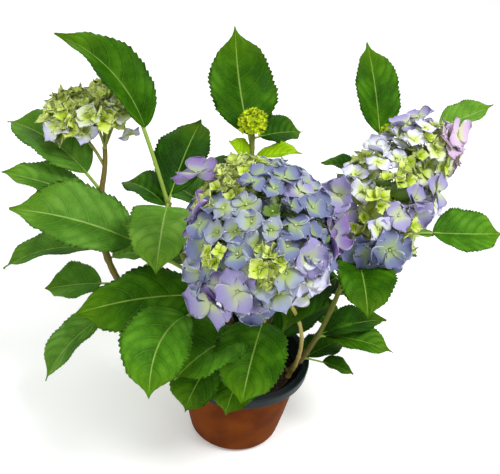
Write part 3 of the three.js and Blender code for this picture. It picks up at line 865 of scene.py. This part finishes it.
def grow_leaves():
    """The leaves of each shoot as one piece, and all their stalks as another."""
    finishes = {tone: [leaf_finish(tone, under) for under in (False, True)] for tone in LEAF_GREENS}
    stalks = bmesh.new()
    seed = 0
    for shoot in SHOOTS:
        specs = [spec for tier in shoot["tiers"].values() for spec in tier]
        if not specs:
            continue
        curve = cane_curve(shoot)
        shape = bmesh.new()
        tones = sorted({spec["tone"] for spec in specs})
        cells = math.ceil(math.sqrt(len(specs)))
        for i, spec in enumerate(specs):
            seed += 1
            root = curve.at(spec["at"])
            first = 2 * tones.index(spec["tone"])
            blade(shape, root, spec, seed, (first, first + 1), (i % cells, i // cells, cells))
            petiole(stalks, root, spec)
        nodes = [f"leaves_{shoot['name']}_{tier}" for tier in shoot["tiers"]]
        materials = [material for tone in tones for material in finishes[tone]]
        finished(shape, f"leaf_blades_{shoot['name']}", materials, "leaf", nodes)
    greens = tint(112, 118, 40), tint(136, 164, 62), tint(170, 186, 96)
    finished(stalks, "leaf_stalks", [stalk_finish("petiole_green", *greens)], "leaf")


# ---------------------------------------------------------------- canes


BARKS = {
    # at the foot, at the tip, and the specks
    "cane_brown": ((80, 62, 20), (104, 92, 28), (140, 124, 58)),
    "cane_olive": ((88, 74, 22), (108, 116, 30), (146, 142, 62)),
    "cane_straw": ((146, 128, 58), (178, 166, 88), (200, 190, 122)),
}


def grow_canes(barks):
    """Every cane whole, from the compost to its tip, swollen and ringed where leaves leave it. One
    with no flower on it ends in a blunt growing point."""
    shape = bmesh.new()
    flowering = {carried["shoot"] for carried in HEADS + BUDS}
    for number, shoot in enumerate(SHOOTS):
        curve = cane_curve(shoot)
        foot_r, tip_r = shoot["radius"]
        rings = [spec["at"] for tier in shoot["tiers"].values() for spec in tier]
        rings += [0.05 + 0.01 * (number % 3), 0.11, 0.2]
        point = 0.0 if shoot["name"] in flowering else 0.035

        def radius(t, rings=rings, foot_r=foot_r, tip_r=tip_r, number=number, point=point):
            thick = foot_r + (tip_r - foot_r) * t
            if point:
                thick = thick * np.sqrt(np.clip((1 - t) / point, 0.04, 1))
            swell = sum(0.22 * np.exp(-(((t - ring) / 0.012) ** 2)) for ring in rings)
            scar = sum(0.1 * np.exp(-(((t - ring - 0.02) / 0.003) ** 2)) for ring in rings)
            bark = 0.03 * np.sin(90 * t + number) + 0.02 * np.sin(223 * t)
            return thick * (1 + swell + scar + bark) * (1 + 0.2 * np.exp(-t / 0.02))

        tube(
            shape, curve, radius, 20, 132, ages=(0.0, 0.9), level=COMPOST_TOP - 1.5,
            span=(-0.02, 1), slot=list(BARKS).index(shoot["bark"]),
        )
    nodes = [f"cane_{shoot['name']}" for shoot in SHOOTS]
    finished(shape, "canes", barks, "cane", nodes)


# ---------------------------------------------------------------- flower heads


def sepal_pattern(
    cup=0.0, spoon=0.1, ruffle=0.03, crease=0.0, twist=0.0, curl=0.0, point=0.1, grid=(16, 8)
):
    """One sepal, its claw at the origin and its tip at 1 along Y, facing +Z. Its two sides close at
    the edge."""
    shape = bmesh.new()

    def place(a, s):
        u, under = unfold(a)
        full = s**0.66 * (1 - s) ** 0.58 / 0.42
        x = 0.57 * u * full * (1 + 0.05 * np.sin(9 * s + 2 * np.sign(u)))
        y = s * (1 + point * (1 - np.abs(u)) * smooth(s, 0.7, 1)) - 0.06 * s * u * u
        z = cup * s * s + spoon * u * u * full + crease * np.abs(u) * s
        z = z + twist * u * s + curl * s**4 + ruffle * np.sin(7 * s + 3 * u) * s
        z = z - 0.022 * under * (1 - u**4) * np.sin(math.pi * np.clip(s, 0, 1))
        return np.stack([x, y, z], -1)

    wrapped(shape, *grid, place, flat_maps("petal"))
    bmesh.ops.recalc_face_normals(shape, faces=shape.faces[:])
    return Pattern(shape)


def bead_pattern():
    shape = bmesh.new()
    age = shape.loops.layers.uv.new("age")
    bmesh.ops.create_icosphere(shape, subdivisions=1, radius=1)
    for face in shape.faces:
        for loop in face.loops:
            loop[age].uv = (0.5, 0.9)
    return Pattern(shape)


def stem_pattern():
    """A thin stem one long, from the origin along +Z, a little bowed."""
    shape = bmesh.new()

    def place(a, s):
        turn = 2 * math.pi * a
        thick = (s > 0.1) & (s < 0.9)
        share = np.clip((s * 7 - 1) / 5, 0, 1)
        bowed = 1.5 * np.sin(math.pi * share)
        return np.stack([np.sin(turn) * thick, np.cos(turn) * thick + bowed, share], -1)

    wrapped(shape, 5, 7, place, {"age": lambda a, s: (a, 0.9 + 0 * s)})
    bmesh.ops.recalc_face_normals(shape, faces=shape.faces[:])
    return Pattern(shape)


SEPALS = [
    sepal_pattern(cup=0.14, spoon=0.2, curl=-0.2),
    sepal_pattern(cup=-0.14, spoon=0.1, ruffle=0.05, point=0.2),
    sepal_pattern(cup=0.08, crease=0.3, ruffle=0.04, curl=-0.16, point=0.18),
    sepal_pattern(cup=-0.05, twist=0.3, ruffle=0.06, point=0.15),
    sepal_pattern(cup=0.14, twist=-0.25, spoon=0.08, curl=-0.3, point=0.15),
    sepal_pattern(cup=-0.34, spoon=-0.08, ruffle=0.05, point=0.22),
]
YOUNG_SEPALS = [
    sepal_pattern(cup=0.1, spoon=0.16, crease=0.16, ruffle=0.05, point=0.24, grid=(12, 6)),
    sepal_pattern(cup=-0.12, spoon=0.1, ruffle=0.08, point=0.3, grid=(12, 6)),
]
BEAD = bead_pattern()
STEM = stem_pattern()
COLOUR_ORDER = list(SEPAL_COLOURS)


def floret_places(lobe, seed, count, depth, offset):
    """Where the florets of a lobe lie, which way they face and how wide they are, on a shell at a
    share of the lobe's depth."""
    axis = bearing(*lobe["axis"])
    right, up = beside(axis)
    closing = 1 - math.cos(math.radians(lobe["spread"]))
    for i in range(count):
        share = (i + 0.5) / count
        polar = math.acos(1 - closing * share)
        turn = math.radians(i * GOLDEN + seed * 40 + offset)
        x, y = math.sin(polar) * math.cos(turn), math.sin(polar) * math.sin(turn)
        z = math.cos(polar)
        reach = depth * (1 + HEAD["ragged"] * wobble(seed, i + offset))
        way = right * x * lobe["radii"][0] + up * y * lobe["radii"][1] + axis * z * lobe["radii"][2]
        at = np.array(lobe["centre"]) + way * reach
        facing = unit(
            right * (x + HEAD["tilt"] * wobble(seed + 5, i))
            + up * (y + HEAD["tilt"] * wobble(seed + 9, i))
            + axis * (z + HEAD["lift"])
        )
        low, high = lobe["size"]
        across = (low + (high - low) * share**1.4) * (1 + HEAD["sizes"] * wobble(seed + 3, i))
        yield at, facing, across, share, i


def patch_at(lobe, at, share, seed, i):
    """The patch that a floret lies in, or one of its own in the crown's or the rim's colours."""
    way = unit(np.array(at) - lobe["centre"])
    for held in lobe["patches"]:
        near = math.degrees(math.acos(np.clip(way @ bearing(held["heading"], held["rise"]), -1, 1)))
        if near < held["reach"] * (1 + 0.15 * wobble(seed + 20, i)):
            return held
    rim = share + 0.25 * wobble(seed + 11, i) > 0.5
    choices = lobe["rim"] if rim else lobe["crown"]
    pick = int((wobble(seed + 13, i) + 1) / 2 * len(choices)) % len(choices)
    return patch(0, 0, 0, choices[pick])


def floret(sepals, beads, at, facing, across, colour, seed, coarse=False):
    """Four broad sepals round a bead, cupped in a young one and open in a full one."""
    right, up = beside(facing)
    young = colour in YOUNG_COLOURS
    size = across / 2
    first = 180 * wobble(seed, 1)
    opening = OPENINGS.get(colour, 12) + 16 * wobble(seed, 2)
    for k in range(4):
        turn = math.radians(first + 90 * k + 12 * wobble(seed, 10 + k))
        out = right * math.cos(turn) + up * math.sin(turn)
        side = np.cross(out, facing)
        tip = math.radians(opening + 18 * wobble(seed, 20 + k))
        leaning = out * math.cos(tip) + facing * math.sin(tip)
        normal = np.cross(side, leaning)
        long = size * (1.08 + 0.16 * wobble(seed, 30 + k))
        wide = long * ((0.9 if young else 1.06) + 0.14 * wobble(seed, 40 + k))
        axes = np.stack([side * wide, leaning * long, normal * long], -1)
        choice = int((wobble(seed, 50 + k) + 1) * 3) % len(SEPALS)
        pattern = YOUNG_SEPALS[choice % len(YOUNG_SEPALS)] if young or coarse else SEPALS[choice]
        base = at + facing * (0.5 if k % 2 else 0.0) + out * 0.3
        sepals.append((pattern, axes, base, COLOUR_ORDER.index(colour)))
    beads.append((BEAD, np.eye(3) * (1.0 if young else 1.3), at + facing * 0.9, 0 if young else 1))


def cushion(sepals, beads, at, facing, across, count, seed):
    """A tuft of young green florets where one full floret would open."""
    right, up = beside(facing)
    for k in range(count):
        turn = math.radians(360 * k / count + 40 * wobble(seed, k))
        aside = right * math.cos(turn) + up * math.sin(turn)
        away = across * (0.26 + 0.07 * wobble(seed, 60 + k)) * (count > 1)
        lean = unit(facing + aside * (0.35 + 0.2 * wobble(seed, 70 + k)))
        place = at + aside * away + facing * across * 0.1 * wobble(seed, 80 + k)
        size = across * (1.0, 1.0, 0.8, 0.7, 0.66)[count] * (1 + 0.15 * wobble(seed, 90 + k))
        floret(sepals, beads, place, lean, size, "lime", seed + 17 * k)


def stem_between(start, end, radius):
    way = unit(end - start)
    right, up = beside(way)
    long = np.linalg.norm(end - start)
    return (STEM, np.stack([right * radius, up * radius, way * long], -1), start, 0)


def knot_places(lobe):
    """The knots at the ends of a lobe's rays: one under the crown and a ring round it."""
    axis = bearing(*lobe["axis"])
    right, up = beside(axis)
    hub, centre = np.array(lobe["hub"], float), np.array(lobe["centre"], float)
    for i in range(HEAD["rays"] + 1):
        polar = 0 if i == 0 else math.radians(lobe["spread"] * HEAD["ray_spread"])
        turn = i / HEAD["rays"] * 2 * math.pi
        target = (
            centre
            + right * math.sin(polar) * math.cos(turn) * lobe["radii"][0]
            + up * math.sin(polar) * math.sin(turn) * lobe["radii"][1]
            + axis * math.cos(polar) * lobe["radii"][2]
        )
        yield hub + (target - hub) * HEAD["ray_reach"]


def peduncle(shape, shoot, hub):
    """The stem of a head or a bud: it carries on from the cane's tip and bends towards its hub."""
    start = np.array(shoot["tip"], float)
    way = cane_curve(shoot).way(1.0)
    hub = np.array(hub, float)
    bend = start + way * np.linalg.norm(hub - start) / 2
    thick = shoot["radius"][1]
    curve = Bow(start - way * 2, bend, hub)
    slot = list(BARKS).index(shoot["bark"])
    tube(shape, curve, lambda t: thick * (1 - 0.15 * t), 14, 18, ages=(0.88, 0.95), slot=slot)


def seat(
    parts, knots, young, at, facing, across, colour, mark, coarse=False, thick=STEM_R["pedicel"]
):
    """Sets a floret, or a cushion where its colour is a young one's, and the pedicel under it."""
    sepals, beads, stalks = parts
    if colour == "lime":
        cushion(sepals, beads, at, facing, across, young, mark)
    else:
        floret(sepals, beads, at, facing, across, colour, mark, coarse)
    nearest = min(knots, key=lambda knot: np.linalg.norm(knot - at))
    stalks.append(stem_between(nearest, at, thick))


def grow_heads(stems):
    """Each head's sepals, hearts and rays, three pieces a head, and its stem among the stems."""
    finishes = [sepal_finish(colour) for colour in COLOUR_ORDER]
    bead_finishes = [
        bead_finish("floret_heart_green", tint(150, 172, 30), tint(196, 212, 80)),
        bead_finish("floret_heart_blue", tint(160, 176, 110), tint(196, 208, 170)),
    ]
    ray = stalk_finish("ray_green", tint(104, 98, 36), tint(136, 150, 62), tint(176, 184, 96))
    for head in HEADS:
        parts = sepals, beads, stalks = [], [], []
        seed = head["seed"]
        hub = np.array(head["hub"], float)
        peduncle(stems, shoot_named(head["shoot"]), hub)
        for number, lobe in enumerate(head["lobes"]):
            knots = list(knot_places(lobe))
            lobe_hub = np.array(lobe["hub"], float)
            stalks.append((BEAD, np.eye(3) * STEM_R["hub"], lobe_hub, 0))
            if lobe["spur"]:
                stalks.append(stem_between(np.array(lobe["spur"], float), lobe_hub, STEM_R["spur"]))
            for knot in knots:
                stalks.append(stem_between(lobe_hub, knot, STEM_R["ray"]))
                stalks.append((BEAD, np.eye(3) * STEM_R["knot"], knot, 0))
            for count, depth, offset in zip(lobe["counts"], *SHELLS):
                for at, facing, across, share, i in floret_places(lobe, seed, count, depth, offset):
                    mark = 100 * seed + i + offset + 31 * number
                    held = patch_at(lobe, at, share, seed, i + offset)
                    colour, across = held["colour"], across * held["size"]
                    at = lobe["centre"] + (at - lobe["centre"]) * held["depth"]
                    if offset and colour != "lime":
                        colour = lobe["within"][i % len(lobe["within"])]
                    seat(
                        parts, knots, head["young"], at, facing, across, colour, mark,
                        coarse=bool(offset),
                    )
            for spare, (at, facing, across, colour) in enumerate(lobe["strays"]):
                at, facing, mark = np.array(at, float), bearing(*facing), seed + 7 + spare
                seat(
                    parts, knots, head["young"], at, facing, across, colour, mark,
                    thick=STEM_R["stray"],
                )
        name = head["name"]
        repeated(f"{name}_sepals", sepals, finishes, "bloom", [name])
        repeated(f"{name}_hearts", beads, bead_finishes, "bloom")
        repeated(f"{name}_rays", stalks, [ray], "bloom")


def grow_buds(stems):
    """The green buds: small cushions of closed florets round a fleshy core."""
    finish = sepal_finish("sprout")
    core = bead_finish("bud_core", tint(150, 176, 10), tint(190, 208, 40))
    for bud in BUDS:
        shoot = shoot_named(bud["shoot"])
        heart = np.array(shoot["tip"]) + bearing(*bud["lean"]) * (bud["stalk"] + bud["radius"])
        peduncle(stems, shoot, heart)
        sepals, beads = [], [(BEAD, np.eye(3) * bud["radius"] * 0.95, heart, 0)]
        for i in range(bud["heads"]):
            height = 1 - 1.6 * (i + 0.5) / bud["heads"]
            ring = math.sqrt(1 - height * height)
            turn = math.radians(i * GOLDEN)
            out = np.array([ring * math.cos(turn), ring * math.sin(turn), height])
            at = heart + out * bud["radius"] * (0.98 + 0.1 * wobble(61, i))
            across = bud["radius"] * (0.86 + 0.12 * wobble(62, i))
            floret(sepals, beads, at, out, across, "lime", 300 + i)
        sepals = [(pattern, axes, at, 0) for pattern, axes, at, _ in sepals]
        repeated(f"{bud['name']}_florets", sepals, [finish], "bud", [bud["name"]])
        repeated(f"{bud['name']}_core", beads, [core], "bud")


# ---------------------------------------------------------------- pots and compost


def turned(profile, name, material, slot, node):
    """A profile of radii and heights spun round into a closed piece with its edges rounded."""
    shape = bmesh.new()
    verts = [shape.verts.new((radius, 0, height)) for radius, height in profile]
    edges = [shape.edges.new(pair) for pair in zip(verts, verts[1:])]
    bmesh.ops.spin(
        shape, geom=verts + edges, cent=(0, 0, 0), axis=(0, 0, 1), angle=2 * math.pi,
        steps=ROUND, use_merge=True,
    )
    bmesh.ops.remove_doubles(shape, verts=shape.verts[:], dist=1e-3)
    for face in shape.faces:
        face.smooth = True
    finished(shape, name, [material], slot, [node])


def arc(centre, radius, start, end, steps=6):
    """Points round a corner, from one angle to another."""
    angles = np.radians(np.linspace(start, end, steps))
    return [(centre[0] + radius * math.cos(a), centre[1] + radius * math.sin(a)) for a in angles]


def pot_r(height):
    return POT["foot_r"] + (POT["mouth_r"] - POT["foot_r"]) * height / POT["height"]


def liner_inner_r(height):
    mouth = POT["mouth_r"] - POT["wall"] - GAP - LINER["wall"]
    foot = pot_r(POT["foot"]) - POT["wall"] - GAP - LINER["wall"] - 1
    return foot + (mouth - foot) * (height - POT["foot"]) / (POT["height"] - POT["foot"])


def throw_pot():
    foot, top = POT["foot"], POT["height"]
    wall_inside = POT["mouth_r"] - POT["wall"]
    side = [
        (pot_r(h) + math.sin(math.pi * h / top), h)
        for h in np.linspace(foot + 4, top - 4, 10)
    ]
    profile = [
        (0, 0), (pot_r(foot) - foot - 3, 0),
        *arc((pot_r(foot) - foot, foot), foot, -90, -4, 9),
        *side,
        *arc((POT["mouth_r"] - 1.6, top - 1.6), 1.6, 0, 90),
        *arc((wall_inside + 1.4, top - 1.4), 1.4, 90, 180),
        (wall_inside - 0.5, top - 8),
        (pot_r(foot) - POT["wall"], foot + 1), (pot_r(foot) - POT["wall"] - 2, foot), (0, foot),
    ]
    turned(profile, "pot_body", clay_finish(), "pot", "pot")


def mould_liner():
    lip_bottom = LINER["lip_top"] - LINER["lip"] + GAP
    floor = POT["foot"] + GAP
    wall, lip_r, top = LINER["wall"], LINER["lip_r"], LINER["lip_top"]
    profile = [
        (0, floor), (liner_inner_r(floor) + wall - 0.6, floor),
        (liner_inner_r(lip_bottom) + wall - 0.6, lip_bottom),
        *arc((lip_r - 2.2, lip_bottom + 1), 1.0, -90, 0, 4),
        (lip_r - 1.0, lip_bottom + 3), (lip_r - 0.2, top - 3.2),
        *arc((lip_r - 1.4, top - 1.5), 1.4, 0, 90),
        *arc((lip_r - 6.0, top - 2.2), 2.2, 90, 150, 4),
        (LINER["mouth_r"], top - 3.4), (LINER["mouth_r"] - 0.8, top - 6),
        (liner_inner_r(lip_bottom - 6), lip_bottom - 6),
        (liner_inner_r(floor + wall), floor + wall), (0, floor + wall),
    ]
    turned(profile, "nursery_pot_shell", liner_finish(), "nursery_pot", "nursery_pot")


def fill_compost():
    """The compost: a crumbly disc, lumpy on top, with loose crumbs lying on it."""
    radius = liner_inner_r(LINER["lip_top"] - LINER["lip"] - 6) + 0.5
    foot, rest = 76, COMPOST_TOP - 2.0  # the bed's underside, and its level before the lumps
    shape = bmesh.new()

    def place(a, s):
        turn = 2 * math.pi * a
        ring = radius * np.clip((1 - s) * 1.25, 0, 1)
        x, y = ring * np.cos(turn), ring * np.sin(turn)
        lumps = 1.3 * np.sin(x * 0.21 + 1) * np.cos(y * 0.24)
        lumps = lumps + 0.8 * np.sin(x * 0.57) * np.sin(y * 0.61 + 2)
        lumps = lumps + 0.4 * np.sin(x * 1.3 + y * 0.9) + 0.3 * np.sin(x * 1.9 - y * 2.3)
        top = rest + lumps * np.clip((1 - ring / radius) * 6, 0, 1)
        height = np.where(s < 0.2, foot + (rest - foot) * s / 0.2, top)
        height = np.where(s < 1e-6, foot, height)
        ring_in = np.where(s < 1e-6, 0, ring)
        return np.stack([ring_in * np.cos(turn), ring_in * np.sin(turn), height], -1)

    wrapped(shape, 90, 60, place, {})
    crumb = compost_finish()
    finished(shape, "compost_bed", [crumb], "compost", ["compost"])
    crumbs = []
    for i in range(CRUMBS):
        turn = math.radians(i * GOLDEN)
        reach = (radius - 2) * math.sqrt((i + 0.5) / CRUMBS)
        size = 0.9 + 0.7 * (wobble(31, i) + 1)
        frame_of = np.array([
            [1 + 0.4 * wobble(32, i), 0.3 * wobble(33, i), 0],
            [0.3 * wobble(34, i), 1 + 0.4 * wobble(35, i), 0.2],
            [0, 0.2 * wobble(36, i), 0.7],
        ]) * size
        at = np.array([reach * math.cos(turn), reach * math.sin(turn), COMPOST_TOP - 1.4])
        crumbs.append((BEAD, frame_of, at, 0))
    repeated("compost_crumbs", crumbs, [crumb], "compost")


# ---------------------------------------------------------------- the stage

ROOM_LIGHT = 0.62
LIGHTS = [
    # name, place, width and watts
    ("key", (0.8, -0.5, 1.6), 0.6, 22),
    ("fill", (-1.2, -1.1, 1.0), 1.2, 8),
    ("back", (-0.3, 1.2, 1.3), 1.0, 9),
]
LIT_AT = (0, 0, 0.22)
VIEW = {
    "elevation": 32.7, "roll": 5.5, "target": (-0.0016, 0, 0.25), "distance": 0.9,
    "reach": 907 / 500,
}
SENSOR = 36


def set_stage():
    """A plain pale floor, and soft light from above and both sides."""
    bpy.ops.mesh.primitive_plane_add(size=8)
    floor = bpy.context.object
    floor.name = "floor"
    constants = {
        "Roughness": 0.9, "Base Color": (0.95, 0.95, 0.95, 1), "Specular IOR Level": 0.1,
        "Emission Color": (1, 1, 1, 1), "Emission Strength": 0.14,
    }
    pale = Finish("pale_floor", constants)
    floor.data.materials.append(pale.material)
    floor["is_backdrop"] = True

    world = bpy.data.worlds.new("soft_room")
    world.use_nodes = True
    world.node_tree.nodes["Background"].inputs["Color"].default_value = (1, 1, 1, 1)
    world.node_tree.nodes["Background"].inputs["Strength"].default_value = ROOM_LIGHT
    bpy.context.scene.world = world

    for name, at, size, watts in LIGHTS:
        lamp = bpy.data.lights.new(name, "AREA")
        lamp.size, lamp.energy = size, watts
        holder = bpy.data.objects.new(name, lamp)
        holder.location = at
        aim = Vector(LIT_AT) - Vector(at)
        holder.rotation_euler = aim.to_track_quat("-Z", "Y").to_euler()
        bpy.context.scene.collection.objects.link(holder)


def set_camera():
    elevation, roll = math.radians(VIEW["elevation"]), math.radians(VIEW["roll"])
    back = Vector((0, -math.cos(elevation), math.sin(elevation)))
    level = Vector((1, 0, 0))
    above = back.cross(level)
    right = level * math.cos(roll) + above * math.sin(roll)
    up = above * math.cos(roll) - level * math.sin(roll)
    data = bpy.data.cameras.new("camera")
    data.sensor_width = SENSOR
    data.lens = VIEW["reach"] * SENSOR
    camera = bpy.data.objects.new("camera", data)
    turn = Matrix((right, up, back)).transposed().to_4x4()
    stand = Vector(VIEW["target"]) + back * VIEW["distance"]
    camera.matrix_world = Matrix.Translation(stand) @ turn
    bpy.context.scene.view_settings.view_transform = "Standard"
    bpy.context.scene.collection.objects.link(camera)
    bpy.context.scene.camera = camera


# ---------------------------------------------------------------- the whole plant

set_stage()
set_camera()
throw_pot()
mould_liner()
fill_compost()
BARK = [stalk_finish(name, *(tint(*colour) for colour in bark)) for name, bark in BARKS.items()]
grow_canes(BARK)
grow_leaves()
STEMS = bmesh.new()
grow_heads(STEMS)
grow_buds(STEMS)
finished(STEMS, "peduncles", BARK, "cane")

boxes = {"cad": CAD_BOX, "visual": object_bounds()}
